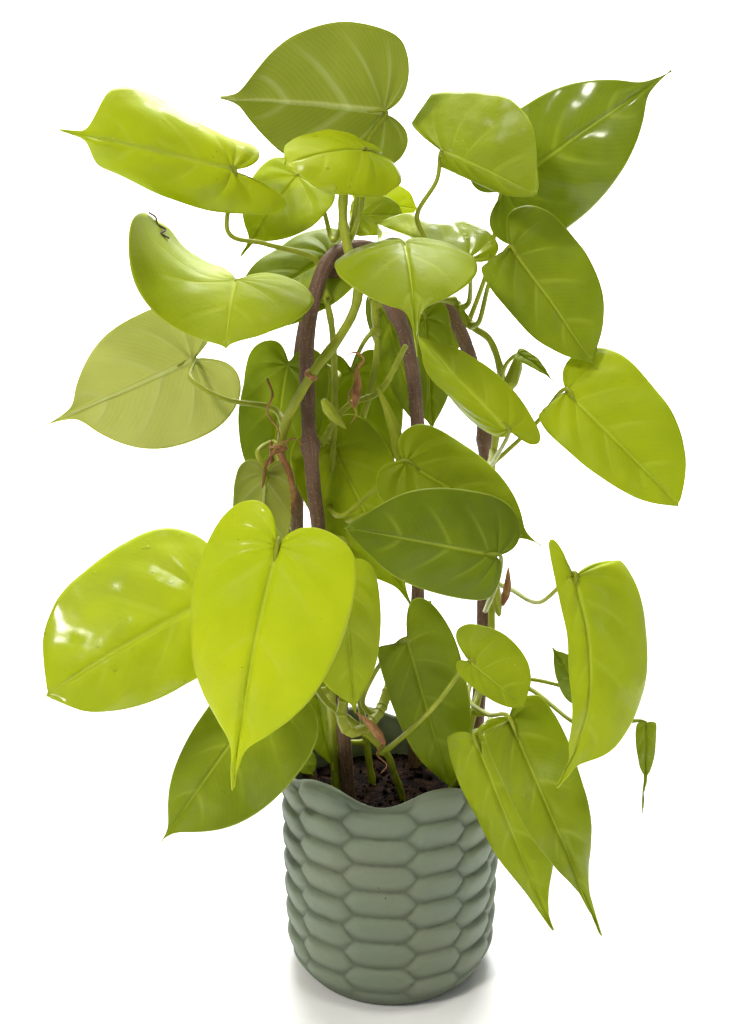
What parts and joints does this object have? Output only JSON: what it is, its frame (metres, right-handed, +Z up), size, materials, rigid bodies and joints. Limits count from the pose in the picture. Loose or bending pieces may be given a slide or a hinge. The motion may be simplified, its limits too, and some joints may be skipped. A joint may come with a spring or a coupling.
{
  "type": "potted philodendron",
  "caption": "Heart-leaved climbing house plant with yellow-green leaves, trained on crossed twig hoops in a round scale-patterned ceramic pot.",
  "frame": {"origin": "middle of the pot's flat underside", "axes": "+Z up, -Y towards the front of the plant, +X to the right as seen from the front"},
  "size_m": [0.3318, 0.1979, 0.5279],
  "materials": {
    "pot": "matt sage-green pressed ceramic with a fine grain",
    "soil": "damp dark potting soil",
    "bark": "brown-purple twig bark",
    "vine": "fresh yellow-green stem",
    "leaf": "glossy yellow-green leaf, paler beneath",
    "sheath": "papery sheath, green or dried brown"
  },
  "bodies": {
    "root": {"pot": "pot", "soil": "soil", "hoop_front": "bark", "hoop_back": "bark", "vine_left": "vine", "vine_center": "vine", "vine_right": "vine", "vine_back": "vine", "vine_cross": "vine", "cut_stem": "vine", "root_long": "vine", "root_short": "vine", "leaf_front_heart": "leaf", "leaf_left_wide": "leaf", "leaf_lower_left": "leaf", "leaf_left_pale": "leaf", "leaf_left_fold": "leaf", "leaf_left_saddle": "leaf", "leaf_yellow_back": "leaf", "leaf_top_round": "leaf", "leaf_top_small": "leaf", "leaf_upper_mid": "leaf", "leaf_upper_right": "leaf", "leaf_right_upper": "leaf", "leaf_right_low": "leaf", "leaf_mid_right": "leaf", "leaf_center_top": "leaf", "leaf_center_fold": "leaf", "leaf_mid_big": "leaf", "leaf_low_round": "leaf", "leaf_low_small": "leaf", "leaf_low_right_a": "leaf", "leaf_low_right_b": "leaf", "leaf_right_front": "leaf", "leaf_heart_mate": "leaf", "leaf_pot_left": "leaf", "leaf_back_left": "leaf", "leaf_left_dark": "leaf", "leaf_left_pale_low": "leaf", "leaf_center_low": "leaf", "leaf_back_center_a": "leaf", "leaf_back_center_b": "leaf", "leaf_back_center_c": "leaf", "leaf_arch_behind": "leaf", "leaf_back_top": "leaf", "leaf_back_green": "leaf", "leaf_back_pale": "leaf", "leaf_bud_leaf": "leaf", "leaf_hanging_tip": "leaf", "leaf_rim_left": "leaf", "leaf_dark_curl": "leaf", "new_leaf": "vine", "bud_right": "vine", "sheath_right": "sheath", "sheath_green": "vine", "sheath_pale": "vine", "sheath_high": "vine", "sheath_left": "sheath", "sheath_center": "sheath", "sheath_low": "sheath"}
  },
  "joints": []
}
